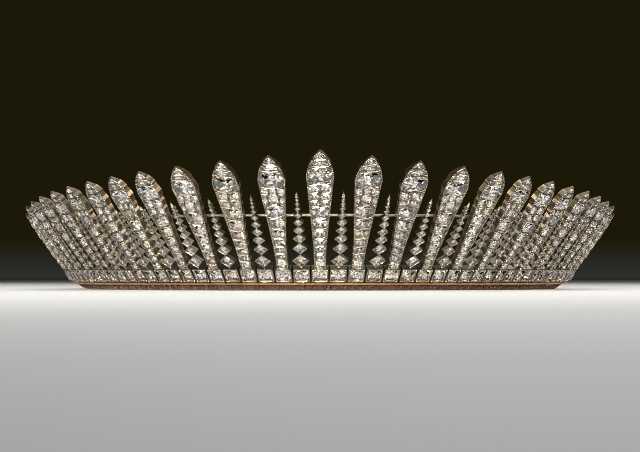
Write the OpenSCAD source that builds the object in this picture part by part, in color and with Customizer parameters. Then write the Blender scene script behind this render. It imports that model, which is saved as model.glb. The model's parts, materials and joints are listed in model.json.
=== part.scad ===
// Diadem: a closed circle of graduated diamond bars and narrow diamond spikes
// over a row of square diamonds, on a gold frame with a velvet roll inside it
// and a hinged gold rear band that meets at a clasp. Millimetres.
// The origin is the middle of the ring, level with the velvet roll's underside, which it stands on.
// The front faces -Y.

/* [Ring plan] */
// Radius of the front arc of the base row's outer edge
front_r = 70; // [60:1:80]
// Half of the angle that the front arc takes
front_a = 38; // [25:1:50]
// Radius of the two side arcs
side_r = 126; // [105:1:150]
// Angle from the front at which the side arcs end
side_a = 74; // [65:1:85]
// Height of the gold frame's underside above what the velvet rests on
rim_z = 1.8; // [1.2:0.1:3]

/* [Fringe] */
// Bars on each side of the centre bar
side_bars = 16; // [12:1:18]
// Base settings on each side of the centre one
side_settings = 46; // [40:1:48]
// Room along the ring that the centre base setting takes
pitch = 5.8; // [5.3:0.05:5.9]
// Share of that room that the last base setting loses
pitch_loss = 0.57; // [0.4:0.01:0.7]
// How late along the row the settings shrink
pitch_power = 2; // [1.5:0.1:3]
// Outward lean of the settings, degrees from upright
lean = 36; // [25:1:40]
// Length of the centre bar above the base row
bar_l = 46; // [38:0.5:52]
// Share of that length which the last bar keeps
end_bar_share = 0.13; // [0.1:0.01:0.2]
// Length of a narrow spike, as a share of the bars beside it
spike_share = 0.68; // [0.5:0.01:0.8]

/* [Settings] */
// Depth of the base settings and bars
set_t = 2.4; // [2:0.1:2.8]
// Depth of the narrow spikes
spike_t = 1.6; // [1.2:0.1:1.9]
// Height of the base row
base_h = 5.3; // [4.6:0.1:6]
// Gap between neighbouring base settings
set_gap = 0.3; // [0.25:0.01:0.4]
// Metal around a stone
wall = 0.3; // [0.2:0.05:0.4]
// Clearance around a stone in its setting
stone_gap = 0.1; // [0.1:0.01:0.15]
// Depth of a stone, as a share of its smaller side
stone_deep = 0.62; // [0.5:0.01:0.66]
// Radius of the gallery wire behind the bars
wire_r = 0.4; // [0.3:0.05:0.6]
// Height of the gallery wire above the base row, along the bars
wire_up = 19.5; // [14:0.5:21]
// Bars on each side that the gallery wire passes
wire_bars = 10; // [6:1:10]

/* [Frame and velvet] */
// Thickness of the frame's foot under the base row
foot_t = 0.75; // [0.6:0.05:1]
// Thickness of the frame's plate behind the base row
back_t = 0.6; // [0.5:0.05:0.8]
// Width of the frame's foot, seen from below
foot_w = 2.3; // [2.1:0.1:2.8]
// Clearance between the base settings and the frame
seat_gap = 0.12; // [0.1:0.01:0.2]
// Width of the velvet roll
roll_w = 10.2; // [8:0.1:12]
// Height of the velvet roll
roll_h = 7.5; // [6:0.1:8.5]
// Gap between the velvet roll and the frame
roll_gap = 0.2; // [0.15:0.05:0.3]

/* [Rear band and clasp] */
// Thickness of the rear strips
strip_t = 1.6; // [1.4:0.1:2]
// Height of the rear strips
strip_h = 3; // [2.8:0.1:3.6]
// Angle of the clasp's middle from the back centre
clasp_a = -4.4; // [-8:0.1:8]
// Length of the clasp between its two end boxes
clasp_l = 19.6; // [16:0.1:24]
// Length of each end box
box_l = 5.9; // [4.5:0.1:7]
// Gap at each end of the clasp's channel and tongue
clasp_gap = 1.1; // [1:0.05:1.4]
// Length of the thumb-piece
thumb_l = 8.5; // [6:0.1:10]
// Radius of the hinge pins
pin_r = 0.5; // [0.4:0.05:0.6]
// Running clearance of a hinge pin
pin_gap = 0.05; // [0.03:0.01:0.1]
// Radius of the hinge knuckles
knuckle_r = 1.4; // [1.25:0.05:1.6]
// Length of the pointed end leaf
leaf_l = 9; // [7:0.1:11]

/* [Hidden] */
$fn = 64;
rear_r = side_r + (front_r - side_r) * sin(front_a) / sin(side_a);
// centres of the arcs, with the ring's middle at the origin
to_side = [(front_r - side_r) * sin(front_a), -(front_r - side_r) * cos(front_a)];
to_rear = to_side + (side_r - rear_r) * [sin(side_a), -cos(side_a)];
front_c = [0, -(to_rear[1] + rear_r - front_r) / 2];
side_c = front_c + to_side;
rear_c = front_c + to_rear;
// lengths along the ring from the front centre to the ends of the front and side arcs
front_s = front_r * front_a * PI / 180;
side_s = front_s + side_r * (side_a - front_a) * PI / 180;
last = round(side_settings);
last_bar = 2 * round(side_bars);
share_of = function (k) abs(k) / last;
// room of setting k, and its place along the ring
room = function (k) pitch * (1 - pitch_loss * pow(share_of(k), pitch_power));
place = function (k) sign(k) * last * pitch * (share_of(k)
    - pitch_loss * pow(share_of(k), pitch_power + 1) / (pitch_power + 1));
// bar lengths around the ring: share of the way to the last bar, share of the centre bar's length
length_shares = [[0, 1], [0.063, 0.955], [0.25, 0.845], [0.5, 0.71], [0.69, 0.6], [0.75, 0.54], [0.813, 0.41],
    [0.875, 0.3], [0.94, 0.21], [1, end_bar_share]];
bar_len = function (k) bar_l * lookup(abs(k) / last_bar, length_shares);
// outline of a bar: share of its length, share of its widest half width
bar_shares = [[0, 0.38], [0.2, 0.45], [0.43, 0.655], [0.725, 0.94], [0.785, 1], [0.84, 0.9], [0.88, 0.79],
    [0.955, 0.42], [1, 0.06]];
bar_half = 0.74;
head_at = 0.79;
head_h = 0.13;
// the lozenges of a narrow spike: middle and half height, as shares of its length
lozenges = [[0.11, 0.093], [0.268, 0.081], [0.393, 0.07], [0.498, 0.061], [0.598, 0.055], [0.689, 0.042],
    [0.771, 0.033], [0.835, 0.027], [0.888, 0.022]];
base_z = foot_t + seat_gap;
top_z = base_z + base_h;
stone_y = 0.35;
pin_s = place(last) + room(last) / 2 + leaf_l + knuckle_r + 0.7;
knuckle_h = 1;
knuckle_gap = 0.15;
mid_h = 2;
// how far the end plate stands out towards the hinge
plate_t = 0.2;
frame_s = pin_s - knuckle_r - knuckle_gap - plate_t;
strip_r = -0.3 - strip_t / 2;
stack_h = 2 * knuckle_h + 2 * knuckle_gap + mid_h;

deg = 180 / PI / rear_r;
silver = [0.8, 0.79, 0.77];
gold = [0.82, 0.62, 0.32];
velvet = [0.3, 0.2, 0.16];
diamond = [0.92, 0.94, 0.97];

// angle from the front at length s along the ring
function ring_angle(s) = s < front_s ? s / front_r * 180 / PI
    : s < side_s ? front_a + (s - front_s) / side_r * 180 / PI : side_a + (s - side_s) / rear_r * 180 / PI;

// places its children on the ring at length s from the front centre, +Y inwards
module on_ring(s, up = rim_z) {
    a = abs(s);
    arc = a < front_s ? [front_r, front_c[0], front_c[1]]
        : a < side_s ? [side_r, side_c[0], side_c[1]] : [rear_r, rear_c[0], rear_c[1]];
    side = s < 0 ? -1 : 1;
    turn = side * ring_angle(a);
    translate([side * arc[1] + arc[0] * sin(turn), arc[2] - arc[0] * cos(turn), up]) rotate([0, 0, turn]) children();
}

// a slab with the given outline, its outer face on the leaning plane
module slab(t) translate([0, t, 0]) rotate([90, 0, 0]) linear_extrude(t) children();

// sweeps a section (x outwards from the ring's outer edge, y up) from angle a0 to a1 on one arc
module sweep(c, r, a0, a1)
    translate([c[0], c[1], 0]) rotate([0, 0, a0 - 90]) rotate_extrude(angle = a1 - a0, $fn = 180)
        translate([r, 0]) children();

// the section all round from the front to angle end_a on both sides, with a short collar over each change of arc
module ring_sweep(end_a) {
    sweep(front_c, front_r, -front_a, front_a) children(0);
    for (m = [0, 1]) mirror([m, 0, 0]) {
        sweep(side_c, side_r, front_a, min(side_a, end_a)) children(0);
        if (end_a > side_a) sweep(rear_c, rear_r, side_a, end_a) children(0);
        for (s = end_a > side_a ? [front_s, side_s] : [front_s])
            on_ring(s, 0) translate([0.4, 0, 0]) rotate([90, 0, -90]) linear_extrude(0.8) children(1);
    }
}

// a point of the leaning plane's frame (y inwards, z up the lean) in the upright section
function lean_pt(y, z) = [z * sin(lean) - y * cos(lean), rim_z + y * sin(lean) + z * cos(lean)];

module frame_section(grow = 0) {
    t = set_t + seat_gap;
    g = [sin(lean), cos(lean)] * grow;
    polygon([[grow, rim_z], lean_pt(0, foot_t) + [grow, 0], lean_pt(t, foot_t) + g / 2, lean_pt(t, top_z - 0.3) + g,
        lean_pt(t + back_t, top_z - 0.3) + g - [grow, 0], [-foot_w - grow, lean_pt(t + back_t, foot_t)[1]],
        [-foot_w - grow, rim_z]]);
}

// half width of a bar at share v of its length
function bar_w(k, v) = min(room(k) * bar_half, bar_len(k) * 0.24) * lookup(v, bar_shares);

module base_outline(k) translate([-(room(k) - set_gap) / 2, base_z]) square([room(k) - set_gap, base_h]);

// an octagon: a rectangle with its corners cut
function cushion(w, h, cut = 0.24) = let (c = cut * min(w, h), a = w / 2, b = h / 2)
    [[a - c, -b], [a, -b + c], [a, b - c], [a - c, b], [-a + c, b], [-a, b - c], [-a, -b + c], [-a + c, -b]];

// a square on its corner, with its corners cut
function lozenge(w, h, c = 0.14) = [[w * c, -h * (1 - c)], [w * (1 - c), -h * c], [w * (1 - c), h * c],
    [w * c, h * (1 - c)], [-w * c, h * (1 - c)], [-w * (1 - c), h * c], [-w * (1 - c), -h * c], [-w * c, -h * (1 - c)]];

// a cut stone with its girdle in the XZ plane, its table towards -Y and its point towards +Y
module stone(girdle, m) {
    pts = concat([for (p = girdle) [p[0] * 0.6, -0.16 * m, p[1] * 0.6]], [for (p = girdle) [p[0], 0, p[1]]],
        [[0, (stone_deep - 0.16) * m, 0]]);
    polyhedron(pts, concat([[7, 6, 5, 4, 3, 2, 1, 0]],
        [for (i = [0:7]) [i, (i + 1) % 8, 8 + (i + 1) % 8, 8 + i]],
        [for (i = [0:7]) [8 + i, 8 + (i + 1) % 8, 16]]));
}

// size of the base stone in setting k
function base_w(k) = room(k) - set_gap - 2 * wall - 2 * stone_gap;
function base_hh(k) = min(base_h - 2 * wall - 2 * stone_gap, base_w(k) * 1.15);

module base_stone(k) on_ring(place(k)) rotate([lean, 0, 0])
    translate([0, stone_y, base_z + base_h / 2]) stone(cushion(base_w(k), base_hh(k)), min(base_w(k), base_hh(k)));

module base_seat(k) translate([0, base_z + base_h / 2]) seat(base_w(k) + 2 * stone_gap, base_hh(k) + 2 * stone_gap);

// size of the large stone in a bar's head
function head_hh(k) = min(bar_len(k) * head_h, 2 * bar_w(k, head_at) - 2 * wall);
function head_top(k) = head_at + (head_hh(k) / 2 + stone_gap + wall) / bar_len(k);
function head_w(k) = 2 * (min(bar_w(k, 2 * head_at - head_top(k)), bar_w(k, head_top(k))) - wall - stone_gap);

module head_stone(k) on_ring(place(k)) rotate([lean, 0, 0])
    translate([0, stone_y, top_z + head_at * bar_len(k)])
        stone(cushion(head_w(k), head_hh(k), 0.3), min(head_w(k), head_hh(k)));

module seat(w, h) translate([-w / 2, -h / 2]) square([w, h]);

module wire_staple() {
    a = wire_r + 0.12;
    translate([-0.7, 0, top_z + wire_up]) rotate([90, 0, 90]) linear_extrude(1.4) difference() {
        translate([set_t - 0.3, -a - 0.4]) square([2 * a + 0.7, 2 * a + 0.8]);
        translate([set_t + 0.01, -a]) square([2 * a, 2 * a]);
    }
}

module bar(k) {
    l = bar_len(k);
    on_ring(place(k)) rotate([lean, 0, 0]) {
        slab(set_t) difference() {
            union() {
                base_outline(k);
                translate([0, top_z - 0.4]) square([2 * bar_w(k, 0), 1.2], center = true);
                translate([0, top_z]) polygon(concat([for (q = bar_shares) [bar_w(k, q[0]), q[0] * l]],
                    [for (i = [len(bar_shares) - 1:-1:0]) [-bar_w(k, bar_shares[i][0]), bar_shares[i][0] * l]]));
            }
            base_seat(k);
            translate([0, top_z + head_at * l]) seat(head_w(k) + 2 * stone_gap, head_hh(k) + 2 * stone_gap);
        }
        if (abs(k) <= 2 * wire_bars && wire_up + wire_r + 0.7 < (2 * head_at - head_top(k)) * l) wire_staple();
    }
}

// half width of lozenge i of spike k
function lozenge_w(k, i) = min(1.25 * lozenges[i][1] * spike_share * bar_len(k),
    0.49 * room(k) * lozenges[i][1] / lozenges[0][1]);

// the lowest lozenge of spike k: half width, half height, and its wall as a share of its size
function low_w(k) = lozenge_w(k, 0);
function low_h(k) = lozenges[0][1] * spike_share * bar_len(k);
function low_in(k, gap) = 1 - gap * sqrt(pow(low_w(k), 2) + pow(low_h(k), 2)) / (low_w(k) * low_h(k));

module spike_stone(k) {
    w = low_w(k) * low_in(k, wall + stone_gap);
    h = low_h(k) * low_in(k, wall + stone_gap);
    on_ring(place(k)) rotate([lean, 0, 0]) translate([0, stone_y, top_z + lozenges[0][0] * spike_share * bar_len(k)])
        stone(lozenge(w, h), 1.4 * min(w, h));
}

module spike(k) {
    l = spike_share * bar_len(k);
    neck = 0.1 * lozenge_w(k, 0);
    n = len(lozenges);
    right = concat([[2 * neck, -0.4], [2 * neck, 0]], [for (i = [0:n - 1]) each [
        [lozenge_w(k, i), lozenges[i][0] * l],
        [neck, l * (i == n - 1 ? lozenges[i][0] + lozenges[i][1] : (lozenges[i][0] * lozenges[i + 1][1]
            + lozenges[i + 1][0] * lozenges[i][1]) / (lozenges[i][1] + lozenges[i + 1][1]))]]],
        [[1.5 * neck, 0.94 * l], [0.05, l]]);
    on_ring(place(k)) rotate([lean, 0, 0]) {
        slab(set_t) difference() {
            base_outline(k);
            base_seat(k);
        }
        slab(spike_t) translate([0, top_z]) difference() {
            polygon(concat(right, [for (i = [len(right) - 1:-1:0]) [-right[i][0], right[i][1]]]));
            if (has_stone(k)) translate([0, lozenges[0][0] * l])
                polygon([for (p = [[1, 0], [0, 1], [-1, 0], [0, -1]])
                    [p[0] * low_w(k), p[1] * low_h(k)] * low_in(k, wall)]);
        }
    }
}

// the lowest lozenge holds a stone of its own where it is large enough
function has_stone(k) = low_in(k, wall + stone_gap) * low_h(k) > 0.45;

// the base settings behind the last bar, joined along their backs
module rear_row() {
    s0 = place(last_bar + 1);
    for (k = [last_bar + 1:last]) on_ring(place(k)) rotate([lean, 0, 0]) slab(set_t) difference() {
        base_outline(k);
        base_seat(k);
    }
    sweep(rear_c, rear_r, ring_angle(s0), ring_angle(place(last))) polygon([lean_pt(set_t - 0.5, base_z + 0.8),
        lean_pt(set_t - 0.5, top_z - 0.8), lean_pt(set_t, top_z - 0.8), lean_pt(set_t, base_z + 0.8)]);
}

wire_s = place(2 * wire_bars) + 1.6;

module gallery_wire() color(silver) {
    c = lean_pt(set_t + 0.12 + wire_r, top_z + wire_up);
    ring_sweep(ring_angle(wire_s)) {
        translate(c) circle(wire_r, $fn = 24);
        translate(c) circle(wire_r + 0.06, $fn = 24);
    }
    for (m = [0, 1]) mirror([m, 0, 0]) on_ring(wire_s) translate([0, -c[0], c[1] - rim_z]) sphere(wire_r + 0.08);
}

module frame() color(gold) {
    ring_sweep(ring_angle(frame_s)) { frame_section(); frame_section(0.05); }
    for (m = [0, 1]) mirror([m, 0, 0]) {
        // pointed leaf with its bead, on the frame's outer face
        on_ring(frame_s) {
            translate([0, 0.3, 0]) slab2(0.9) polygon([[0.3, 0], [0.3, strip_h + 0.4],
                [-leaf_l * 0.3, strip_h + 0.2], [-leaf_l * 0.6, strip_h * 0.8], [-leaf_l + 0.3, strip_h * 0.45],
                [-leaf_l * 0.7, 0.1], [-leaf_l * 0.5, 0]]);
            translate([-leaf_l * 0.45, -0.7, strip_h * 0.5]) sphere(0.65);
            // end plate, clear of the swinging knuckle
            translate([-0.3, -0.3, 0]) cube([0.3 + plate_t, foot_w + 0.6, stack_h]);
        }
        // the outer two knuckles of the hinge
        on_ring(pin_s) for (z = [0, stack_h - knuckle_h]) translate([0, -strip_r, z]) difference() {
            union() {
                cylinder(r = knuckle_r, h = knuckle_h);
                translate([-knuckle_r - 0.45, -0.8, 0]) cube([knuckle_r + 0.45, 1.6, knuckle_h]);
            }
            translate([0, 0, -1]) cylinder(r = pin_r + pin_gap, h = knuckle_h + 2);
        }
    }
}

// an upright slab whose inner face is the XZ plane
module slab2(t) rotate([90, 0, 0]) linear_extrude(t) children();

module hinge_pins() color(gold) for (m = [0, 1]) mirror([m, 0, 0]) on_ring(pin_s) translate([0, -strip_r, 0]) {
    translate([0, 0, -0.4]) cylinder(r = pin_r, h = stack_h + 0.8);
    for (z = [-0.55, stack_h + 0.6]) translate([0, 0, z]) sphere(pin_r + 0.25);
}

function roll_pts(n = 16) = [for (i = [0:n - 1]) let (a = 360 * i / n, c = cos(a), s = sin(a), e = 2 / 2.7)
    [roll_w / 2 * sign(c) * pow(abs(c), e), roll_h / 2 * sign(s) * pow(abs(s), e)]];

module roll_section(grow = 0) intersection() {
    translate([-foot_w - roll_gap - roll_w / 2, roll_h / 2 - 0.25])
        scale([1 + 2 * grow / roll_w, 1 + 2 * grow / roll_h]) polygon(roll_pts());
    translate([-2 * roll_w, 0]) square([2 * roll_w - foot_w - roll_gap, 2 * roll_h]);
}

module velvet_roll() color(velvet)
    ring_sweep(ring_angle(frame_s - 0.6)) { roll_section(); roll_section(0.05); }

// sweeps a section on the rear arc from angle a0 to a1, measured from the back centre towards +X
module rear_sweep(a0, a1) sweep(rear_c, rear_r, 180 - a1, 180 - a0) children();

module box2(r0, r1, z0, z1) translate([r0, rim_z + z0]) square([r1 - r0, z1 - z0]);

module rear_ball(a, r, z, size) translate([rear_c[0], rear_c[1], rim_z + z]) rotate([0, 0, -a])
    translate([0, rear_r + r, 0]) sphere(size);

pin_a = 180 - ring_angle(pin_s);
half_a = clasp_l / 2 * deg;
ball_r = 0.65;
ball_in = (ball_r + 0.15) * deg;
box_a = box_l * deg;
gap_a = clasp_gap * deg;
in_r = strip_r - strip_t / 2;
out_r = strip_r + strip_t / 2;

// the swinging knuckle at a strip's outer end; m = 1 mirrors it to the left
module strip_knuckle(m) mirror([m, 0, 0]) on_ring(pin_s) translate([0, -strip_r, knuckle_h + knuckle_gap])
    difference() {
        cylinder(r = knuckle_r, h = mid_h);
        translate([0, 0, -1]) cylinder(r = pin_r + pin_gap, h = mid_h + 2);
    }

// the strip itself from the knuckle, stepped back so that it clears the outer knuckles
module strip_arc(a0, a1, m) {
    step = (knuckle_r + 0.25) * deg;
    bore_a = (pin_r + 0.25) * deg;
    z0 = knuckle_h + knuckle_gap;
    if (m == 1) {
        rear_sweep(a0 + step, a1) box2(in_r, out_r, 0, strip_h);
        rear_sweep(a0 + bore_a, a0 + step + 0.2) box2(in_r + 0.06, out_r - 0.06, z0 + 0.06, strip_h - 0.06);
    } else {
        rear_sweep(a0, a1 - step) box2(in_r, out_r, 0, strip_h);
        rear_sweep(a1 - step - 0.2, a1 - bore_a) box2(in_r + 0.06, out_r - 0.06, z0 + 0.06, strip_h - 0.06);
    }
}

module left_rear_strip() color(gold) {
    a = clasp_a - half_a;
    strip_arc(-pin_a, a - box_a + 0.1, 1);
    strip_knuckle(1);
    // end box with its bead
    rear_sweep(a - box_a, a - gap_a) box2(in_r - 0.3, out_r + 0.3, -0.2, strip_h + 0.3);
    rear_ball(a - box_a + ball_in, strip_r, strip_h + 0.6, ball_r);
    // tongue with the thumb-piece on its upper edge
    rear_sweep(a - gap_a - 0.1, clasp_a + half_a - gap_a) box2(in_r - 0.1, in_r + 0.6, 0.5, strip_h - 0.2);
    rear_sweep(clasp_a - thumb_l * 0.18 * deg, clasp_a + thumb_l * 0.3 * deg)
        box2(in_r - 0.05, in_r + 0.55, strip_h - 0.5, strip_h + 0.7);
    rear_sweep(clasp_a - thumb_l * 0.5 * deg, clasp_a + thumb_l * 0.5 * deg)
        box2(in_r - 0.35, out_r - 0.1, strip_h + 0.55, strip_h + 1.3);
    rear_ball(clasp_a - (thumb_l * 0.5) * deg + ball_in, strip_r - 0.2, strip_h + 1.6, ball_r);
}

module right_rear_strip() color(gold) {
    a = clasp_a + half_a;
    strip_arc(a + box_a - 0.1, pin_a, 0);
    strip_knuckle(0);
    rear_sweep(a, a + box_a) box2(in_r - 0.3, out_r + 0.3, -0.2, strip_h + 0.3);
    rear_ball(a + box_a - ball_in, strip_r, strip_h + 0.6, ball_r);
    // channel, open towards the inside, that the tongue lies in
    rear_sweep(clasp_a - half_a, a + 0.2) box2(in_r + 0.75, out_r + 0.1, 0, strip_h + 0.25);
    rear_sweep(clasp_a - half_a + 0.05, a - gap_a) box2(in_r - 0.1, in_r + 0.9, 0.05, 0.35);
    for (s = [-1, 1]) rear_sweep(clasp_a + (s > 0 ? thumb_l * 0.5 * deg + gap_a : -half_a + 0.05),
        clasp_a + (s > 0 ? half_a - gap_a : -thumb_l * 0.5 * deg - gap_a))
        box2(in_r - 0.1, in_r + 0.9, strip_h - 0.05, strip_h + 0.2);
    rear_ball(a - ball_in, out_r - 0.28, strip_h + 0.6, ball_r * 0.9);
}

module fringe_bars() color(silver) for (k = [-last_bar:2:last_bar]) bar(k);
module fringe_spikes() color(silver) for (k = [-last_bar + 1:2:last_bar - 1]) spike(k);
module rear_settings() color(silver) for (m = [0, 1]) mirror([m, 0, 0]) rear_row();
module base_diamonds() color(diamond) for (k = [-last:last]) base_stone(k);
module bar_diamonds() color(diamond) for (k = [-last_bar:2:last_bar]) head_stone(k);
module spike_diamonds() color(diamond) for (k = [-last_bar + 1:2:last_bar - 1]) if (has_stone(k)) spike_stone(k);

frame();
velvet_roll();
fringe_bars();
fringe_spikes();
rear_settings();
base_diamonds();
bar_diamonds();
spike_diamonds();
gallery_wire();
hinge_pins();
left_rear_strip();
right_rear_strip();
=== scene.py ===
# A closed-circle fringe diadem: graduated bars of old-cut diamonds and narrow spikes of lozenge settings
# over a row of square diamonds, on a gold frame with a velvet-wound roll and a hinged gold rear band.
import json
import math
import random
from itertools import combinations

import bpy
import numpy as np
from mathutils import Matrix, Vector, noise

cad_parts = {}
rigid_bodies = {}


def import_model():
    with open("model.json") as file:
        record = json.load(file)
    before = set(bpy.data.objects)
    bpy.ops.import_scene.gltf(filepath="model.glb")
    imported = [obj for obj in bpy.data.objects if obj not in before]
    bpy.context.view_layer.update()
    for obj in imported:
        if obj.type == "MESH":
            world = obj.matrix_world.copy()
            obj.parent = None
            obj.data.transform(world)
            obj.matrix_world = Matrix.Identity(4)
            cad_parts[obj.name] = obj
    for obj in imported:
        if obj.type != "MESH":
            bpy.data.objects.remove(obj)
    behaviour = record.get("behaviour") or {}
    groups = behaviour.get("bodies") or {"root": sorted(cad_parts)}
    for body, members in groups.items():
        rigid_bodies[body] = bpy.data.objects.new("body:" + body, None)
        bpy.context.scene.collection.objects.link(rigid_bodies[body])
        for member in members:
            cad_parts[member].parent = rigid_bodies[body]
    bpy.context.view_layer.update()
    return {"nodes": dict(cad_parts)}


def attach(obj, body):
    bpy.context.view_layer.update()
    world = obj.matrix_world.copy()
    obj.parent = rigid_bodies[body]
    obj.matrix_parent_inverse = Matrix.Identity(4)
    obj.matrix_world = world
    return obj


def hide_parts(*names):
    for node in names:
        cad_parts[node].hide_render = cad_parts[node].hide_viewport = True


for left_over in list(bpy.data.objects):
    bpy.data.objects.remove(left_over)
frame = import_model()

# Gold frame. The real one is a hammered strip of yellow gold bent to the head's oval, with a foot below
# and a leaning plate behind the base row, and its two end fittings soldered on.
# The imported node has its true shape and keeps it. Sizes here and below are in millimetres.
MM = 0.001
LAP_FROM, LAP_TO = 7.5, 7.9


def linear(shade):
    """An sRGB hex colour as linear red, green, blue and alpha."""
    parts = [int(shade[i : i + 2], 16) / 255 for i in (1, 3, 5)]
    return tuple(p / 12.92 if p <= 0.04045 else ((p + 0.055) / 1.055) ** 2.4 for p in parts) + (1.0,)


def put(tree, kind, inputs=(), **settings):
    """Adds a node with its settings, and its inputs as values or as links from other nodes' outputs."""
    made = tree.nodes.new(kind)
    for name, value in settings.items():
        setattr(made, name, value)
    for name, value in dict(inputs).items():
        if isinstance(value, bpy.types.NodeSocket):
            tree.links.new(value, made.inputs[name])
        else:
            made.inputs[name].default_value = value
    return made


def new_material(name, **shine):
    """A material with its Principled shader, whose plain numbers are set on the shader's own sockets."""
    made = bpy.data.materials.new(name)
    made.use_nodes = True
    tree = made.node_tree
    tree.nodes.clear()
    shader = put(tree, "ShaderNodeBsdfPrincipled", {k.replace("_", " "): v for k, v in shine.items()})
    put(tree, "ShaderNodeOutputMaterial", {"Surface": shader.outputs[0]})
    return made, tree, shader


def grain(tree, size_mm, detail=3.0, stretch=(1, 1, 1)):
    """Noise from 0 to 1 whose lumps are about size_mm across, the same on every side of the piece."""
    where = put(tree, "ShaderNodeTexCoord").outputs["Object"]
    scaled = put(tree, "ShaderNodeMapping", {"Vector": where, "Scale": stretch}).outputs[0]
    lumps = {"Vector": scaled, "Scale": 1 / (size_mm * MM), "Detail": detail}
    return put(tree, "ShaderNodeTexNoise", lumps).outputs[0]


def between(tree, factor, low, high):
    """A colour from low to high as factor goes from 0 to 1."""
    mix = put(tree, "ShaderNodeMix", {"Factor": factor}, data_type="RGBA")
    for socket, value in ((mix.inputs[6], low), (mix.inputs[7], high)):
        if isinstance(value, bpy.types.NodeSocket):
            tree.links.new(value, socket)
        else:
            socket.default_value = linear(value)
    return mix.outputs[2]


def ranged(tree, value, start, end, low, high):
    """value mapped from start..end to low..high."""
    reach = {"Value": value, "From Min": start, "From Max": end, "To Min": low, "To Max": high}
    return put(tree, "ShaderNodeMapRange", reach).outputs[0]


def gold(name, light, deep, polish):
    """Yellow gold, burnished and worn by handling: softly streaked shine, redder where polish has thinned.
    Handling marks are about 5 mm, polishing scratches 0.25 mm apart, coarser than real ones, to show."""
    made, tree, shader = new_material(name, Metallic=1.0)
    patina = ranged(tree, grain(tree, 5.0, 4.0), 0.35, 0.7, 0, 1)
    tree.links.new(between(tree, patina, light, deep), shader.inputs["Base Color"])
    scratch = grain(tree, 0.25, 2.0, (1, 1, 3))
    tree.links.new(ranged(tree, scratch, 0.3, 0.7, polish, polish + 0.16), shader.inputs["Roughness"])
    bump = put(tree, "ShaderNodeBump", {"Height": scratch, "Distance": 0.02 * MM, "Strength": 0.15})
    tree.links.new(bump.outputs[0], shader.inputs["Normal"])
    return made


def dress(name, material):
    """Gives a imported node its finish."""
    frame["nodes"][name].data.materials.clear()
    frame["nodes"][name].data.materials.append(material)


burnished_gold = gold("burnished_gold", "#dcb684", "#b98d5c", 0.2)
# the silver of the settings laps over the plate's top edge and has greyed there
tree = burnished_gold.node_tree
colour = tree.nodes["Principled BSDF"].inputs["Base Color"]
up = put(tree, "ShaderNodeSeparateXYZ", {0: put(tree, "ShaderNodeTexCoord").outputs["Object"]}).outputs[2]
lap = ranged(tree, up, LAP_FROM * MM, LAP_TO * MM, 0, 0.9)
tree.links.new(between(tree, lap, colour.links[0].from_socket, "#5d564b"), colour)
dress("frame", burnished_gold)

# Velvet roll. A soft core wound with a strip of brown silk velvet and sewn along its outer edge to the
# frame's foot. It is swept along the frame's plan, a chain of tangent arcs from front to back, and the
# turns of the winding, the pull of the stitches and the crumpling of the pile are pressed into its surface.
FRONT_R, FRONT_A = 70.0, math.radians(38)
SIDE_R, SIDE_A = 126.0, math.radians(74)
REAR_R = SIDE_R + (FRONT_R - SIDE_R) * math.sin(FRONT_A) / math.sin(SIDE_A)
FRONT_S = FRONT_R * FRONT_A
SIDE_S = FRONT_S + SIDE_R * (SIDE_A - FRONT_A)
to_side = np.array([FRONT_R - SIDE_R] * 2) * (math.sin(FRONT_A), -math.cos(FRONT_A))
to_rear = to_side + (SIDE_R - REAR_R) * np.array([math.sin(SIDE_A), -math.cos(SIDE_A)])
FRONT_C = np.array([0, -(to_rear[1] + REAR_R - FRONT_R) / 2])
SIDE_C = FRONT_C + to_side
REAR_C = FRONT_C + to_rear
FOOT_W = 2.3
ROLL_GAP, ROLL_W, ROLL_H = 0.2, 10.2, 7.5
# the roll is pressed flat where it stands, so its middle lies a little lower than half its height
ROLL_MID = (FOOT_W + ROLL_GAP + ROLL_W / 2, ROLL_H / 2 - 0.25)
ROLL_POWER = 2.7
ROLL_POINTS, ROLL_RINGS = 36, 620
# the ends are rounded over their last 3 mm, down to a share of the full thickness
ROLL_END, END_ROUND, END_SHARE = 226.1, 3.0, 0.62
TURN_WIDTH = 8.5
PITCH = 5.8
OVERLAP, STITCH_PULL = 0.3, 0.22
# the seam lies 0.7 rad below the roll's outer side, and its pull reaches 0.6 rad to either side of it
SEAM_TURN, SEAM_SPREAD = 0.7, 0.6
# crumpling in three layers, each so much finer than the first and so deep, and what is taken off all
# the relief to keep the roll's thickness
CRUMPLES = ((1, 0.16), (3.1, 0.1), (8, 0.05))
RELIEF_OFF = 0.36


def on_ring(s):
    """The frame's outer edge at length s from the front centre: x, y, and the turn about z."""
    length, side = abs(s), -1 if s < 0 else 1
    if length < FRONT_S:
        radius, turn, centre = FRONT_R, length / FRONT_R, FRONT_C
    elif length < SIDE_S:
        radius, turn, centre = SIDE_R, FRONT_A + (length - FRONT_S) / SIDE_R, SIDE_C
    else:
        radius, turn, centre = REAR_R, SIDE_A + (length - SIDE_S) / REAR_R, REAR_C
    return side * (centre[0] + radius * math.sin(turn)), centre[1] - radius * math.cos(turn), side * turn


def upright(s, points):
    """Points given along the ring, inwards and up from the floor, at length s, as x, y and z."""
    x, y, turn = on_ring(s)
    p = np.atleast_2d(np.array(points, float))
    c, q = math.cos(turn), math.sin(turn)
    return np.column_stack([x + c * p[:, 0] - q * p[:, 1], y + q * p[:, 0] + c * p[:, 1], p[:, 2]])


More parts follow.
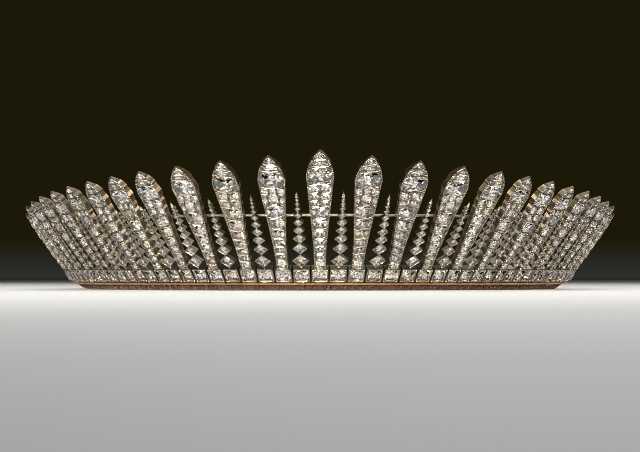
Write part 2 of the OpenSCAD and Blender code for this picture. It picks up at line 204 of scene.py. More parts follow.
class Heap:
    """Points and faces of one piece, gathered from its small parts, with a number for each point."""

    def __init__(self):
        self.points, self.faces, self.marks, self.count = [], [], [], 0

    def add(self, points, faces, marks=0.0):
        self.points.append(points)
        self.faces += [[i + self.count for i in face] for face in faces]
        self.marks.append(np.broadcast_to(np.asarray(marks, float), len(points)))
        self.count += len(points)

    def piece(self, name, material, body, slot=None, stands_for=(), smooth=False, mark=None):
        """The gathered mesh as a piece on its body, dressed and named for what it stands for."""
        mesh = bpy.data.meshes.new(name)
        mesh.from_pydata(np.concatenate(self.points) * MM, [], self.faces)
        if mark:
            values = np.concatenate(self.marks).astype(np.float32)
            mesh.attributes.new(mark, "FLOAT", "POINT").data.foreach_set("value", values)
        mesh.polygons.foreach_set("use_smooth", [smooth] * len(mesh.polygons))
        mesh.materials.append(material)
        made = bpy.data.objects.new(name, mesh)
        bpy.context.scene.collection.objects.link(made)
        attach(made, body)
        if stands_for:
            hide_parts(*stands_for)
        return made


def band(rows, n, closed=True):
    """Faces between rings of n points: the last ring joins the first, or both are capped if not closed."""
    made = []
    for r in range(rows if closed else rows - 1):
        a, b = r * n, (r + 1) % rows * n
        made += [(a + i, b + i, b + (i + 1) % n, a + (i + 1) % n) for i in range(n)]
    return made if closed else made + [tuple(range(n)), tuple(range(rows * n - 1, rows * n - n - 1, -1))]


def roll_ring(s):
    """One ring of the roll at length s: its points, and how many turns of the strip lie before each."""
    ends = min(1.0, (ROLL_END - abs(s)) / END_ROUND)
    size = END_SHARE + (1 - END_SHARE) * math.sqrt(max(0.0, 1 - (1 - ends) ** 2))
    points, turns = [], []
    for i in range(ROLL_POINTS):
        a = 2 * math.pi * i / ROLL_POINTS
        c, q = math.cos(a), math.sin(a)
        away = math.copysign(abs(c) ** (2 / ROLL_POWER), c) * ROLL_W / 2
        up = math.copysign(abs(q) ** (2 / ROLL_POWER), q) * ROLL_H / 2
        phase = s / TURN_WIDTH + i / ROLL_POINTS
        # each turn of the strip lies over the edge of the one before it
        over = OVERLAP * (phase % 1.0) ** 1.5
        # towards the seam the stitches pull the surface in, one to a setting
        sewn = math.exp(-(((a + SEAM_TURN + math.pi) % (2 * math.pi) - math.pi) / SEAM_SPREAD) ** 2)
        pull = STITCH_PULL * sewn * math.cos(2 * math.pi * s / PITCH)
        here = Vector((s * 0.22, 4 * c, 4 * q))
        crumple = sum(depth * noise.noise(here * finer) for finer, depth in CRUMPLES)
        swell = 1 + (over + pull + crumple - RELIEF_OFF) / (ROLL_W / 2)
        points.append((0, ROLL_MID[0] - away * swell * size, max(0.0, ROLL_MID[1] + up * swell * size)))
        turns.append(phase)
    return upright(s, points), turns


rings = [roll_ring(s) for s in np.linspace(-ROLL_END, ROLL_END, ROLL_RINGS)]
roll = Heap()
roll.add(np.concatenate([points for points, _ in rings]), band(ROLL_RINGS, ROLL_POINTS, closed=False),
         np.concatenate([turns for _, turns in rings]))

# brown silk velvet: matt deep brown with a mauve bloom where the pile catches the light, streaked across
# by the winding, rubbed paler along the turns' edges, with painted shade in the crease under each turn's
# edge, and rusty at the two ends; the tufts are drawn 0.35 mm across, coarser than real pile, so that they
# show
velvet, tree, shader = new_material("silk_velvet_mauve_brown", Roughness=0.95, Sheen_Weight=0.5,
                                    Sheen_Roughness=0.35, Sheen_Tint=linear("#c9a294"))
brushed = grain(tree, 9.0, 3.0)
pile = grain(tree, 0.35, 2.0)
wound = put(tree, "ShaderNodeAttribute", attribute_name="wound").outputs["Fac"]
edge = put(tree, "ShaderNodeMath", {0: wound}, operation="FRACT").outputs[0]
combing = {"W": wound, "Scale": 11, "Detail": 3}
combed = put(tree, "ShaderNodeTexNoise", combing, noise_dimensions="1D").outputs[0]
shade = between(tree, ranged(tree, brushed, 0.35, 0.68, 0, 1), "#301f18", "#50362d")
streaked = between(tree, ranged(tree, combed, 0.4, 0.7, 0, 0.55), shade, "#6b4d41")
worn = between(tree, ranged(tree, edge, 0.86, 0.98, 0, 0.5), streaked, "#7b5b4d")
# painted shade: the start of each turn, tucked under the edge of the one before, is darkened almost to
# black
crease_shade = between(tree, ranged(tree, edge, 0.0, 0.07, 0.6, 0), worn, "#20130e")
far = put(tree, "ShaderNodeMath", {0: wound}, operation="ABSOLUTE").outputs[0]
rusty = between(tree, ranged(tree, far, 26.0, 26.5, 0, 0.7), crease_shade, "#6b3120")
tufts = between(tree, ranged(tree, pile, 0.45, 0.75, 0, 0.6), rusty, "#6e524a")
tree.links.new(tufts, shader.inputs["Base Color"])
nap = put(tree, "ShaderNodeBump", {"Height": pile, "Distance": 0.18 * MM, "Strength": 0.8})
tree.links.new(nap.outputs[0], shader.inputs["Normal"])
velvet_wrap = roll.piece("velvet_wrap", velvet, "diadem", "brown_velvet", ["velvet_roll"], smooth=True,
                         mark="wound")

# Seam. Brown silk thread that whips the velvet to the frame's foot, a slanting stitch about every half
# setting, and a few ends of the strip's own warp that have worked loose.
STITCH, THREAD_R, LOOSE_R = 2.9, 0.17, 0.06
# a stitch from the velvet to the foot: along by shares of its slant, inwards, and up
STITCH_ROUTE = ((-1, 3.55, 0.62), (-0.5, 3.1, 0.9), (0.3, 2.5, 1.4), (0.8, 1.95, 1.66))
LOOSE_AT = (-225.9, -225.7, -225.8, -214, -150, -60, 92, 171, 219, 225.8, 225.7, 225.9)
CUT_END = 225


def tube(heap, path, radius, sides=6):
    """A round wire or thread along path, its radius one number or one for each point."""
    path = np.array(path, float)
    ahead = np.gradient(path, axis=0)
    ahead /= np.linalg.norm(ahead, axis=1)[:, None]
    across = np.cross(ahead, (0.31, -0.24, 0.92))
    across /= np.linalg.norm(across, axis=1)[:, None]
    above = np.cross(across, ahead)
    turns = [2 * math.pi * i / sides for i in range(sides)]
    rings = np.stack([across * math.cos(a) + above * math.sin(a) for a in turns], axis=1)
    points = path[:, None] + rings * np.broadcast_to(radius, len(path))[:, None, None]
    heap.add(points.reshape(-1, 3), band(len(path), sides, closed=False))


def silk_thread(name, light, deep):
    """Twisted silk thread: a low soft shine, its two strands a light and a dark band 0.4 mm apart."""
    made, tree, shader = new_material(name, Roughness=0.6, Sheen_Weight=0.3)
    twist = grain(tree, 0.4, 1.0)
    strands = between(tree, ranged(tree, twist, 0.4, 0.6, 0, 1), deep, light)
    tree.links.new(strands, shader.inputs["Base Color"])
    ply = put(tree, "ShaderNodeBump", {"Height": twist, "Distance": 0.08 * MM, "Strength": 0.7})
    tree.links.new(ply.outputs[0], shader.inputs["Normal"])
    return made


sewing = random.Random(3)
stitches, loose = Heap(), Heap()
for i in range(-int(ROLL_END / STITCH), int(ROLL_END / STITCH) + 1):
    s = i * STITCH + sewing.uniform(-0.3, 0.3)
    slant = sewing.uniform(0.3, 0.7)
    route = [(share * slant, inwards, up) for share, inwards, up in STITCH_ROUTE]
    tube(stitches, upright(s, route), THREAD_R)
sewing_silk = silk_thread("brown_sewing_silk", "#6d4a3a", "#2d1a12")
stitches.piece("seam_stitches", sewing_silk, "diadem", "brown_velvet", smooth=True)
for s in LOOSE_AT:
    drift, rise = sewing.uniform(-1.5, 1.5), sewing.uniform(0.5, 2.5)
    if abs(s) > CUT_END:
        # out of the roll's cut end, away from the fringe
        start = np.array((0, sewing.uniform(5, 10), sewing.uniform(2, 5.5)))
        away = np.array((math.copysign(1.6, s), drift, rise))
    else:
        # off the roll's inner side
        start = np.array((0, 12.3, 4.5))
        away = np.array((drift, 1.8, rise))
    route = [start + away * t + (0, 0, -1.4 * t * t) for t in np.linspace(0, 1.3, 8)]
    tube(loose, upright(s, route), LOOSE_R, 4)
warp_silk = silk_thread("russet_silk_ends", "#c08a4a", "#7a3d24")
loose.piece("loose_threads", warp_silk, "diadem", "brown_velvet", smooth=True)

# Settings of the base row. Each is a square cut-down silver collet backed with gold, standing beside its
# neighbours on the frame with a dark slit between, and four small grains hold its stone.
SIDE_BARS, LAST = 16, 46
LAST_BAR = 2 * SIDE_BARS
PITCH_LOSS = 0.57
RIM_Z, LEAN = 1.8, math.radians(36)
SET_T, BASE_H = 2.4, 5.3
SET_GAP, WALL, STONE_GAP = 0.3, 0.3, 0.1
BASE_Z = 0.87
TOP_Z = BASE_Z + BASE_H
BASE_POWER, BASE_LIP = 5.5, 0.33
GIRDLE_AT, GIRDLE_N = 0.25, 16
GRAIN_R, GRAIN_IN = 0.3, 0.08
SOLDER_BITE, SOLDER_DEPTH = 0.04, (0.9, 1.6)
STRIP_T, STRIP_IN = 0.5, 0.8
# how the metal has aged, a number at each point: bright lip, grey wall, greyer edge, gold back, black seat
LIP, GREY, GREYER, GILT, BLACK = 0, 0.35, 0.5, 2.2, -1
# a back filed thinner than this share shows grey in place of gold
THIN_BACK, UNGILT = 0.6, 1.8


def leaning(s, points):
    """Points given along the ring, into the plate and up its lean, at length s, as x, y and z."""
    p = np.atleast_2d(np.array(points, float))
    c, q = math.cos(LEAN), math.sin(LEAN)
    inwards, up = p[:, 1] * c - p[:, 2] * q, RIM_Z + p[:, 1] * q + p[:, 2] * c
    return upright(s, np.column_stack([p[:, 0], inwards, up]))


def room(k):
    """Room along the ring that setting k takes."""
    return PITCH * (1 - PITCH_LOSS * (abs(k) / LAST) ** 2)


def place(k):
    """Length along the ring of setting k's middle."""
    share = abs(k) / LAST
    return math.copysign(LAST * PITCH * (share - PITCH_LOSS * share**3 / 3), k)


def girdle(w, h, power, taper=0.0):
    """Outline of a stone w wide and h high: square-ish for a high power, a lozenge for one near 1."""
    made = []
    for i in range(GIRDLE_N):
        a = 2 * math.pi * i / GIRDLE_N
        c, q = math.cos(a), math.sin(a)
        up = math.copysign(abs(q) ** (2 / power), q)
        made.append((math.copysign(abs(c) ** (2 / power), c) * w / 2 * (1 - taper * up), up * h / 2))
    return np.array(made)


def at_depth(outline, centre, depth):
    """An outline round centre as points (along, into the plate, up)."""
    into = np.zeros(len(outline)) + depth
    return np.column_stack([outline[:, 0] + centre[0], into, outline[:, 1] + centre[1]])


def collet(heap, s, centre, w, h, power, m, edge, back, taper=0.0, lip=0.19):
    """One setting round a stone w by h: from its outer edge (a ring of points) back to depth back, through
    the hole, and over the lip. m sets how deep its seat is cut, for most the stone's smaller side."""
    q = min(1.0, m / 2.2)
    hole = girdle(w, h, power, taper)

    def grown(by):
        return girdle(w + 2 * by * q, h + 2 * by * q, power, taper)

    low = GIRDLE_AT + 0.17 * q
    seat = [(hole * 0.66, np.min(back)), (hole * 0.72, GIRDLE_AT + 0.34 * m), (hole, GIRDLE_AT + 0.04),
            (grown(-0.04), GIRDLE_AT - 0.12 * q), (grown(0.09), GIRDLE_AT - 0.22 * q),
            (grown(lip), GIRDLE_AT - 0.12 * q), (grown(lip + 0.04), low - 0.02)]
    rings = [at_depth(edge, (0, 0), low), at_depth(edge, (0, 0), back)]
    rings += [at_depth(outline, centre, depth) for outline, depth in seat]
    wear = np.repeat([GREYER, GILT, BLACK, BLACK, BLACK, LIP, LIP, LIP, GREY], GIRDLE_N)
    wear[GIRDLE_N : 2 * GIRDLE_N] -= (back < SET_T * THIN_BACK) * UNGILT
    heap.add(leaning(s, np.concatenate(rings)), band(len(rings), GIRDLE_N), wear)


def box_edge(x0, x1, z0, z1):
    """Sixteen points round a rectangle, its corners among them."""
    steps = [(1, 0), (1, 0.5), (1, 1), (0.5, 1), (0, 1), (-0.5, 1), (-1, 1), (-1, 0.5)]
    steps += [(-x, -z) for x, z in steps]
    mid = np.array([(x0 + x1) / 2, (z0 + z1) / 2])
    return mid + np.array(steps) * ((x1 - x0) / 2, (z1 - z0) / 2)


GOLDEN = (1 + math.sqrt(5)) / 2
tips = [(0, a, b) for a in (-1, 1) for b in (-GOLDEN, GOLDEN)]
tips += [(a, b, 0) for a in (-1, 1) for b in (-GOLDEN, GOLDEN)]
tips += [(b, 0, a) for a in (-1, 1) for b in (-GOLDEN, GOLDEN)]
BEAD = np.array(tips) / math.sqrt(1 + GOLDEN**2)
# neighbouring points of a bead lie 1.05 apart, and all others 1.7 or more
NEIGHBOURS = 1.1


def facing_out(i, j, k):
    """Three points of a bead in the order that turns their face outwards."""
    normal = np.cross(BEAD[j] - BEAD[i], BEAD[k] - BEAD[i])
    return (i, j, k) if np.dot(normal, BEAD[i]) > 0 else (k, j, i)


BEAD_FACES = [facing_out(*three) for three in combinations(range(12), 3)
              if all(np.linalg.norm(BEAD[a] - BEAD[b]) < NEIGHBOURS for a, b in combinations(three, 2))]


def beads(heap, s, centres, radius):
    """Small grains of metal at centres (along, into the plate, up)."""
    for centre in centres:
        heap.add(leaning(s, BEAD * radius + centre), BEAD_FACES)


def base_size(k):
    """Width and height of the base stone in setting k."""
    w = room(k) - SET_GAP - 2 * WALL - 2 * STONE_GAP
    return w, min(BASE_H - 2 * WALL - 2 * STONE_GAP, w * 1.15)


base_metal = Heap()
for k in range(-LAST, LAST + 1):
    w, h = base_size(k)
    half, mid = (room(k) - SET_GAP) / 2, BASE_Z + BASE_H / 2
    edge = box_edge(-half, half, BASE_Z, TOP_Z)
    collet(base_metal, place(k), (0, mid), w, h, BASE_POWER, min(w, h), edge, SET_T, lip=BASE_LIP)
    grains = [(x * (w / 2 - GRAIN_IN), GIRDLE_AT - 0.14, mid + z * (h / 2 - GRAIN_IN))
              for x in (-1, 1) for z in (-1, 1)]
    beads(base_metal, place(k), grains, GRAIN_R)


def section(y0, y1, z0, z1):
    """Corners (into the plate, up) of a flat bar's section."""
    return (y0, z0), (y0, z1), (y1, z1), (y1, z0)


# inside the row, blackened solder bridges each slit
solder = section(*SOLDER_DEPTH, BASE_Z + 0.1, TOP_Z - 0.1)
reach = SET_GAP / 2 + SOLDER_BITE
for k in range(-LAST, LAST):
    slit = (place(k) + room(k) / 2 + place(k + 1) - room(k + 1) / 2) / 2
    bridge = [(x, y, z) for x in (-reach, reach) for y, z in solder]
    base_metal.add(leaning(slit, bridge), band(2, 4, closed=False), BLACK)

# behind the last bar the settings are joined along their backs by a soldered strip
strip = section(SET_T - STRIP_T, SET_T, BASE_Z + STRIP_IN, TOP_Z - STRIP_IN)
for side in (-1, 1):
    route = [leaning(side * place(k), [(0, y, z) for y, z in strip]) for k in range(LAST_BAR + 1, LAST + 1)]
    base_metal.add(np.concatenate(route), band(len(route), 4, closed=False), GILT)

# silver over gold, cut down and filed: white and softly worn on the lips, greyed on the walls, black in
# the seats where polish can't reach, and gold on the backs; tool marks are drawn 0.3 mm apart to show
silver, tree, shader = new_material("cut_down_silver_over_gold", Metallic=1.0)
wear = put(tree, "ShaderNodeAttribute", attribute_name="wear").outputs["Fac"]
worn = grain(tree, 1.2, 4.0)
bright = between(tree, ranged(tree, worn, 0.35, 0.7, 0, 1), "#b4ac9b", "#7d7465")
greyed = between(tree, ranged(tree, wear, 0.05, 0.35, 0, 0.9), bright, "#5d564c")
backed = between(tree, ranged(tree, wear, 1.95, 2.15, 0, 1), greyed, "#a08660")
black = between(tree, ranged(tree, wear, -0.7, -0.1, 1, 0), backed, "#15120e")
tree.links.new(black, shader.inputs["Base Color"])
tree.links.new(ranged(tree, worn, 0.3, 0.7, 0.29, 0.4), shader.inputs["Roughness"])
tool_marks = {"Height": grain(tree, 0.3, 2.0), "Distance": 0.03 * MM, "Strength": 0.5}
tree.links.new(put(tree, "ShaderNodeBump", tool_marks).outputs[0], shader.inputs["Normal"])
base_metal.piece("base_settings", silver, "diadem", "silver_rear", ["rear_settings"], mark="wear")

# Base stones. Old-cut diamonds, nearly square, one to a setting, cut by hand: a small table,
# a high crown, and a deep pavilion that ends in an open culet.
CROWN, PAVILION = 0.17, 0.43
# widths of the table, of the two belts of corners and of the culet, as shares of the stone
TABLE, STAR, LOW, CULET = 0.54, 0.77, 0.2, 0.08
# how far a corner strays from an even cut
HAND_CUT = 0.022
cutter = np.random.default_rng(7)


def cut_stone(heap, s, centre, outline, m):
    """An old brilliant: table, stars, mains and girdle facets over a pavilion with an open culet."""
    even, odd = np.arange(0, GIRDLE_N, 2), np.arange(1, GIRDLE_N, 2)
    spin, tilt = cutter.uniform(-0.03, 0.03), cutter.uniform(-0.02, 0.02, 2)
    rings = [(even, TABLE, -CROWN), (odd, STAR, -CROWN * 0.56), (np.arange(GIRDLE_N), 1, 0),
             (odd, LOW, PAVILION * 0.84), (even, CULET, PAVILION)]
    points = []
    for which, size, depth in rings:
        ring = at_depth(outline[which] * size, (spin * m, 0) if size < 1 else (0, 0), GIRDLE_AT + depth * m)
        if size == TABLE:
            ring[:, 1] += ring[:, 0] * tilt[0] + ring[:, 2] * tilt[1]
        elif size < 1:
            # facets ground by eye, so none quite matches its neighbours
            ring += cutter.uniform(-HAND_CUT, HAND_CUT, ring.shape) * m
        points.append(ring + (centre[0], 0, centre[1]))
    # the first point of each ring
    table, star, rim, low, culet = 0, 8, 16, 32, 40
    faces = [tuple(range(8)), tuple(range(culet + 7, culet - 1, -1))]
    for i in range(8):
        after, before = (i + 1) % 8, (i - 1) % 8
        g0, g1, g2 = rim + 2 * i, rim + 2 * i + 1, rim + (2 * i + 2) % GIRDLE_N
        faces += [(table + i, star + i, table + after), (table + i, star + before, g0, star + i),
                  (star + i, g0, g1), (star + i, g1, g2), (low + i, g1, g0), (low + i, g2, g1),
                  (low + i, g0, low + before, culet + i), (culet + after, low + i, culet + i)]
    heap.add(leaning(s, np.concatenate(points)), faces, cutter.random())


base_stones = Heap()
for k in range(-LAST, LAST + 1):
    w, h = base_size(k)
    cut_stone(base_stones, place(k), (0, BASE_Z + BASE_H / 2), girdle(w, h, BASE_POWER), min(w, h))

# old-cut diamond, ground and polished: colourless to faintly warm, with sharp white and black patches;
# its fire is painted light: sparks of colour painted on as spots 0.9 mm across, a facet or two, orange or
# blue over stretches of 4 mm
diamond, tree, shader = new_material("old_cut_diamond", Transmission_Weight=1.0, IOR=2.42, Roughness=0.0)
tone = put(tree, "ShaderNodeAttribute", attribute_name="stone").outputs["Fac"]
warm = between(tree, ranged(tree, tone, 0.3, 0.75, 0, 1), "#ffffff", "#fff4e2")
pink = between(tree, ranged(tree, tone, 0.8, 0.9, 0, 1), warm, "#ffeadf")
straw = between(tree, ranged(tree, grain(tree, 1.6, 0.0), 0.62, 0.7, 0, 0.35), pink, "#ffe1b0")
# painted fire: orange or blue spots tinted into the stone stand in for the coloured light a diamond splits
painted_fire_hue = between(tree, ranged(tree, grain(tree, 4.0, 0.0), 0.46, 0.54, 0, 1), "#ff7a3c", "#7aa4ff")
painted_fire_spots = ranged(tree, grain(tree, 0.9, 0.0), 0.74, 0.78, 0, 0.8)
tree.links.new(between(tree, painted_fire_spots, straw, painted_fire_hue), shader.inputs["Base Color"])
base_stones.piece("base_stones", diamond, "diadem", "base_stones", ["base_diamonds"], mark="stone")

# Fringe bars. Tapered silver bars with pointed heads, each built up from cut-down collets in rows: a point,
# a small stone, the large head stone, rows of two and three, then single stones down to the base row.
# The edges are beaded, and a gold staple on the back holds the gallery wire.
BAR_L = 46.0
# length of a bar as a share of the middle one's, and half width as a share of the widest, each at its place
LENGTH_SHARES = ([0, 0.063, 0.25, 0.5, 0.69, 0.75, 0.813, 0.875, 0.94, 1],
                 [1, 0.955, 0.845, 0.71, 0.6, 0.54, 0.41, 0.3, 0.21, 0.13])
BAR_SHARES = ([0, 0.2, 0.43, 0.725, 0.785, 0.84, 0.88, 0.955, 1],
              [0.38, 0.45, 0.655, 0.94, 1, 0.9, 0.79, 0.42, 0.06])
BAR_HALF = 0.74
# along a bar, as shares of its length: the head stone's middle and height, the tip's start, a row's margin
HEAD_AT, HEAD_H, TIP_AT, ROW_GAP = 0.79, 0.13, 0.922, 0.008
# rows under the head: stones across (0 is one large between two small), and height as a share of the width
TRIPLES = [(3, 0.3), (0, 0.56), (2, 0.4)]
PAIRS = [(2, 0.4), (2, 0.38), (2, 0.36), (2, 0.4)]
SINGLE_TALL = 0.72
# rows of two and three come where a bar has more than this share of its width, if it is longer than this
WIDE_FROM, LONG_FROM = 0.8, 14
BEAD_STEP, BEAD_R = 0.72, 0.28
# staples: height of the wire, how many bars on each side carry one, half of the hole, and half the width
WIRE_UP, WIRE_BARS, LOOP, LOOP_W = 19.5, 10, 0.52, 0.7
TIP_FILED = 1.6


def bar_len(k):
    """Length of bar k above the base row."""
    return BAR_L * float(np.interp(abs(k) / LAST_BAR, *LENGTH_SHARES))


def bar_w(k, v):
    """Half width of bar k at share v of its length."""
    return min(room(k) * BAR_HALF, bar_len(k) * 0.24) * float(np.interp(v, *BAR_SHARES))


def bar_rows(k):
    """Rows of bar k from the point down: lower and upper share, and the stones across."""
    made = [(TIP_AT, 1.0, 1), (HEAD_AT + HEAD_H / 2 + ROW_GAP, TIP_AT, 1),
            (HEAD_AT - HEAD_H / 2 - ROW_GAP, HEAD_AT + HEAD_H / 2 + ROW_GAP, 1)]
    upper = made[-1][0]
    wide = list(TRIPLES if k % 4 else PAIRS)
    while upper > 0.02:
        across, tall = 1, SINGLE_TALL
        if wide and float(np.interp(upper, *BAR_SHARES)) > WIDE_FROM and bar_len(k) > LONG_FROM:
            across, tall = wide.pop(0)
        step = tall * 2 * bar_w(k, upper) / bar_len(k)
        lower = upper - step
        if lower < step * 0.45:
            lower = 0.0
        made.append((lower, upper, across))
        upper = lower
    return made


def bar_cells(k):
    """The settings of bar k: lower and upper share, and left and right edge as shares of the half width."""
    for lower, upper, across in bar_rows(k):
        cuts = (-1, -0.52, 0.52, 1) if across == 0 else np.linspace(-1, 1, across + 1)
        for left, right in zip(cuts, cuts[1:]):
            yield lower, upper, left, right


def cell_edge(k, lower, upper, left, right):
    """Sixteen points round a setting of bar k, which follow the bar's outline."""
    made = []
    for x, z in box_edge(-1, 1, -1, 1):
        v = (lower + upper) / 2 + z * (upper - lower) / 2
        # the bar's own edge swells round each stone and is nicked between them
        share = left + (x + 1) / 2 * (right - left)
        scallop = 1 + (0.05 - 0.11 * z * z) * (abs(share) > 0.99)
        made.append((bar_w(k, v) * share * scallop, TOP_Z + v * bar_len(k)))
    return np.array(made)


def cell_stone(k, lower, upper, left, right):
    """Centre, width, height, power and taper of the stone in a setting of bar k."""
    length, tip = bar_len(k), upper > 0.99
    mid = (lower + upper) / 2
    at = mid - 0.1 * (upper - lower) if tip else mid
    margin = min(0.2, 0.14 * (upper - lower) * length)
    w = bar_w(k, at) * (right - left) - 2 * margin
    h = (upper - lower) * length * (0.8 if tip else 1) - 2 * margin
    below, above = bar_w(k, lower), bar_w(k, upper)
    taper = (below - above) / (below + above) * (0.75 if tip else 0.8)
    return (bar_w(k, at) * (left + right) / 2, TOP_Z + at * length), w, h, 2.3 if tip else 3.0, taper


bar_metal, bar_grains, bar_stones = Heap(), Heap(), Heap()
for k in range(-LAST_BAR, LAST_BAR + 1, 2):
    for cell in bar_cells(k):
        centre, w, h, power, taper = cell_stone(k, *cell)
        m = min(w, h)
        edge = cell_edge(k, *cell)
        back = SET_T
        if cell[1] == 1:
            # the back of the point is filed away towards its tip
            back = SET_T - TIP_FILED * (edge[:, 1] - edge[:, 1].min()) / np.ptp(edge[:, 1])
        collet(bar_metal, place(k), centre, w, h, power, m, edge, back, taper)
        cut_stone(bar_stones, place(k), centre, girdle(w, h, power, taper), m)
        if cell[1] < 1:
            corners = [(x, GIRDLE_AT - 0.08, z) for x, z in edge[2:12:4] * (0.93, 1)]
            beads(bar_grains, place(k), corners, min(0.3, 0.1 + 0.06 * m))
    length = bar_len(k)
    count = int(length / BEAD_STEP)
    rims = [(side * bar_w(k, (i + 0.5) / count), GIRDLE_AT + 0.12, TOP_Z + (i + 0.5) / count * length)
            for i in range(int(0.93 * count)) for side in (-1, 1)]
    beads(bar_grains, place(k), rims, BEAD_R)
    # the staple that holds the gallery wire, a loop soldered on the bar's back
    if abs(k) <= 2 * WIRE_BARS:
        inner, outer = girdle(2 * LOOP, 2 * LOOP, 8), girdle(2 * LOOP + 0.7, 2 * LOOP + 0.8, 6)
        loops = []
        for x, ring in ((-LOOP_W, outer), (-LOOP_W, inner), (LOOP_W, inner), (LOOP_W, outer)):
            into, up = ring[:, 0] + SET_T + LOOP + 0.03, ring[:, 1] + TOP_Z + WIRE_UP
            loops.append(np.column_stack([np.full(GIRDLE_N, x), into, up]))
        bar_metal.add(leaning(place(k), np.concatenate(loops)), band(4, GIRDLE_N), GILT)
bar_metal.piece("bar_settings", silver, "diadem", "silver_bars", ["fringe_bars"], mark="wear")
bar_grains.piece("bar_grains", silver, "diadem", "silver_bars", smooth=True, mark="wear")
bar_stones.piece("bar_stones", diamond, "diadem", "bar_stones", ["bar_diamonds"], mark="stone")

# Fringe spikes. Between the bars stand narrow silver spikes: square collets on their corners, soldered
# point to point and ever smaller, that end in a few grains and a sharp point.
SPIKE_SHARE, SPIKE_T = 0.68, 1.6
# middle and half height of each lozenge as shares of the spike's length
LOZENGES = [(0.11, 0.093), (0.268, 0.081), (0.393, 0.07), (0.498, 0.061), (0.598, 0.055), (0.689, 0.042),
            (0.771, 0.033), (0.835, 0.027), (0.888, 0.022)]
LOZENGE_POWER, STONE_POWER = 1.0, 1.07
# place and radius of the last grains, again as shares, and the depth at which grains and point sit
TIP_GRAINS = ((0.925, 0.02), (0.95, 0.015))
TIE_DEPTH, POINT_W, POINT_FROM, POINT_WEAR = 0.5, 0.5, 0.93, 0.1


def lozenge_size(k, i):
    """Half width and half height of lozenge i of spike k."""
    share = LOZENGES[i][1]
    length = SPIKE_SHARE * bar_len(k)
    return min(1.25 * share * length, 0.49 * room(k) * share / LOZENGES[0][1]), 0.92 * share * length


spike_metal, spike_stones = Heap(), Heap()
for k in range(-LAST_BAR + 1, LAST_BAR, 2):
    length = SPIKE_SHARE * bar_len(k)
    for i, (middle, _) in enumerate(LOZENGES):
        half_w, half_h = lozenge_size(k, i)
        small = min(half_w, half_h)
        wall = min(0.36, 0.3 * small) * math.hypot(half_w, half_h) / small
        centre = (0, TOP_Z + middle * length)
        outer = girdle(2 * half_w, 2 * half_h, LOZENGE_POWER) + centre
        w, h = 2 * half_w - 1.5 * wall, 2 * half_h - 1.5 * wall
        m = 0.7 * min(w, h)
        shallow = min(m, 1.2)
        collet(spike_metal, place(k), centre, w, h, STONE_POWER, shallow, outer, SPIKE_T,
               lip=1.25 * wall / shallow)
        cut_stone(spike_stones, place(k), centre, girdle(w, h, STONE_POWER), m)
    joints = [LOZENGES[0][0] - LOZENGES[0][1]] + [middle + tall for middle, tall in LOZENGES]
    ties = [(0, TIE_DEPTH, TOP_Z + j * length) for j in joints]
    beads(spike_metal, place(k), ties, max(0.16, 0.011 * length))
    for j, size in TIP_GRAINS:
        beads(spike_metal, place(k), [(0, TIE_DEPTH, TOP_Z + j * length)], size * length)
    # the point itself, a thin pyramid on the last grain
    square = girdle(POINT_W, POINT_W, 2)[::4]
    foot = np.column_stack([square, np.zeros(4)]) + (0, TIE_DEPTH, TOP_Z + POINT_FROM * length)
    point = np.vstack([foot, [(0, TIE_DEPTH, TOP_Z + length)]])
    faces = [(3, 2, 1, 0), (0, 1, 4), (1, 2, 4), (2, 3, 4), (3, 0, 4)]
    spike_metal.add(leaning(place(k), point), faces, POINT_WEAR)
spike_metal.piece("spike_settings", silver, "diadem", "silver_spikes", ["fringe_spikes"], mark="wear")
spike_stones.piece("spike_stones", diamond, "diadem", "spike_stones", ["spike_diamonds"], mark="stone")

# Gallery wire. Drawn silver wire that runs through the staples behind the fringe and keeps the bars in
# line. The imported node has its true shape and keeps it.

# drawn silver: an even soft shine, clouded by tarnish in patches of 1.5 mm
wire, tree, shader = new_material("drawn_silver_wire", Metallic=1.0, Roughness=0.3)
clouded = ranged(tree, grain(tree, 1.5, 3.0), 0.35, 0.65, 0, 1)
tree.links.new(between(tree, clouded, "#aaa498", "#8a8274"), shader.inputs["Base Color"])
dress("gallery_wire", wire)

# Rear band. Two thin strips of polished yellow gold that turn on pins in the frame's end fittings, each
# soldered to an end box, and between the boxes a clasp with a tongue and a thumb-piece.
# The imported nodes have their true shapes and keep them, in a gold that is brighter than the frame's.
polished_gold = gold("polished_gold", "#ecc070", "#c98f3c", 0.12)
for name in ("left_rear_strip", "right_rear_strip", "hinge_pins"):
    dress(name, polished_gold)

# End scrolls. Each end of the frame carries a gold leaf, and on it two coiled wires and three bright balls,
# melted and soldered on: one at the leaf's point, one at its lower edge and one by the hinge.
LEAF_AT = 226.7
# coils: forward along the leaf, up, radius, where the coil starts and how far it turns
COILS = ((6.4, 3.1, 0.95, 2.4, 7.5), (2.0, 3.5, 1.25, -0.6, 8.0))
# balls: forward along the leaf, up, radius
BALLS = ((8.5, 3.2, 0.55), (5.2, 2.15, 0.5), (0.9, 5.0, 0.6))
COIL_OUT, BALL_OUT = 0.6, 0.75

scrolls = Heap()
for side in (-1, 1):
    for x, z, radius, first, sweep in COILS:
        coil = [(-side * (x + radius * (1 - 0.72 * t) * math.cos(first + sweep * t)), -COIL_OUT,
                 z + radius * (1 - 0.72 * t) * math.sin(first + sweep * t)) for t in np.linspace(0, 1, 30)]
        tube(scrolls, upright(side * LEAF_AT, coil), np.linspace(0.24, 0.13, 30), 8)
    for x, z, radius in BALLS:
        rise = np.linspace(-1.55, 1.55, 11)
        column = [(-side * x, -BALL_OUT, z + radius * math.sin(a)) for a in rise]
        tube(scrolls, upright(side * LEAF_AT, column), radius * np.cos(rise), 14)
scrolls.piece("end_scrolls", polished_gold, "diadem", "gold_frame", smooth=True)

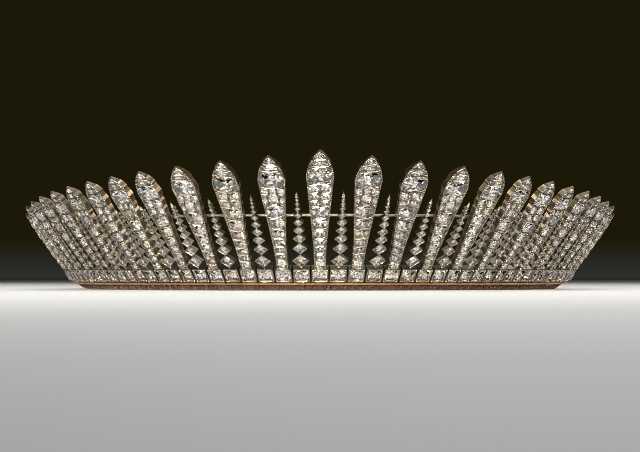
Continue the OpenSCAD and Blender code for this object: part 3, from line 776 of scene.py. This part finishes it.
# Floor, light and camera. A plain pale floor 6 m square, soft studio lamps, and a long lens in front of
# the diadem and just above the floor, in line with the middle bar. Sizes here are in metres.
FLOOR = 3.0
corners = [(x * FLOOR, y * FLOOR, 0) for x, y in ((-1, -1), (1, -1), (1, 1), (-1, 1))]
floor_mesh = bpy.data.meshes.new("floor")
floor_mesh.from_pydata(corners, [], [(0, 1, 2, 3)])
floor = bpy.data.objects.new("floor", floor_mesh)
bpy.context.scene.collection.objects.link(floor)
# matt painted board: an even pale grey, faintly clouded in patches of 60 mm
pale, tree, shader = new_material("pale_floor", Roughness=0.6, Specular_IOR_Level=0.12)
tree.links.new(between(tree, grain(tree, 60.0), "#d8dcde", "#e2e4e5"), shader.inputs["Base Color"])
floor_mesh.materials.append(pale)

world = bpy.data.worlds.new("studio")
bpy.context.scene.world = world
world.use_nodes = True
tree = world.node_tree
# the room behind is dark and brown above, and slightly paler down at the floor's edge
towards = put(tree, "ShaderNodeTexCoord").outputs["Generated"]
height = put(tree, "ShaderNodeSeparateXYZ", {"Vector": towards}).outputs[2]
haze = between(tree, ranged(tree, height, 0.0, 0.014, 0, 1), "#2c2f2b", "#1d1909")
tree.links.new(haze, tree.nodes["Background"].inputs["Color"])


def lamp(name, size, where, target, power, shade="#ffffff", spread=180):
    """A rectangular soft lamp at where, turned to target, its light fanning out by spread degrees."""
    data = bpy.data.lights.new(name, "AREA")
    data.shape, data.size, data.size_y = "RECTANGLE", size[0], size[1]
    data.energy, data.color, data.spread = power, linear(shade)[:3], math.radians(spread)
    made = bpy.data.objects.new(name, data)
    made.location = where
    made.rotation_mode = "QUATERNION"
    made.rotation_quaternion = (Vector(target) - Vector(where)).to_track_quat("-Z", "Y")
    bpy.context.scene.collection.objects.link(made)


FRINGE = (0, -0.05, 0.03)
lamp("front_box", (1.2, 0.3), (0, -1.2, 0.36), FRINGE, 1.1, "#fff2e0", spread=40)
lamp("left_box", (0.4, 0.45), (-0.95, -0.6, 0.4), FRINGE, 0.8, "#fff4e4", spread=50)
lamp("right_box", (0.3, 0.4), (1.0, -0.45, 0.4), FRINGE, 0.7, "#fff0dc", spread=50)
lamp("low_strip", (0.5, 0.07), (0, -1.05, 0.07), (0, -0.09, 0.0), 0.11, "#fff4e6", spread=16)
lamp("low_spark", (0.05, 0.05), (-0.45, -1.3, 0.12), FRINGE, 0.25, spread=25)
lamp("top_box", (0.9, 0.8), (0.05, -0.4, 0.9), (0, -0.35, 0), 5.0)
lamp("back_box", (1.2, 0.5), (0.1, 1.0, 0.6), (0, 0.05, 0.03), 0.9, "#f4f6fb", spread=60)

# a narrow pixel filter and plain denoising guides keep the stones' small sparks
bpy.context.scene.cycles.filter_width = 1.0
bpy.context.scene.cycles.denoising_prefilter = "NONE"
bpy.context.scene.view_settings.view_transform = "Standard"
CAMERA_AT, LOOKS_AT = (0, -0.9, 0.005), (0, 0, 0.023)
camera = bpy.data.objects.new("camera", bpy.data.cameras.new("camera"))
bpy.context.scene.collection.objects.link(camera)
bpy.context.scene.camera = camera
camera.location = CAMERA_AT
camera.rotation_mode = "QUATERNION"
camera.rotation_quaternion = (Vector(LOOKS_AT) - camera.location).to_track_quat("-Z", "Y")
camera.data.sensor_width, camera.data.lens = 36, 138.6
camera.data.clip_start, camera.data.clip_end = 0.05, 20
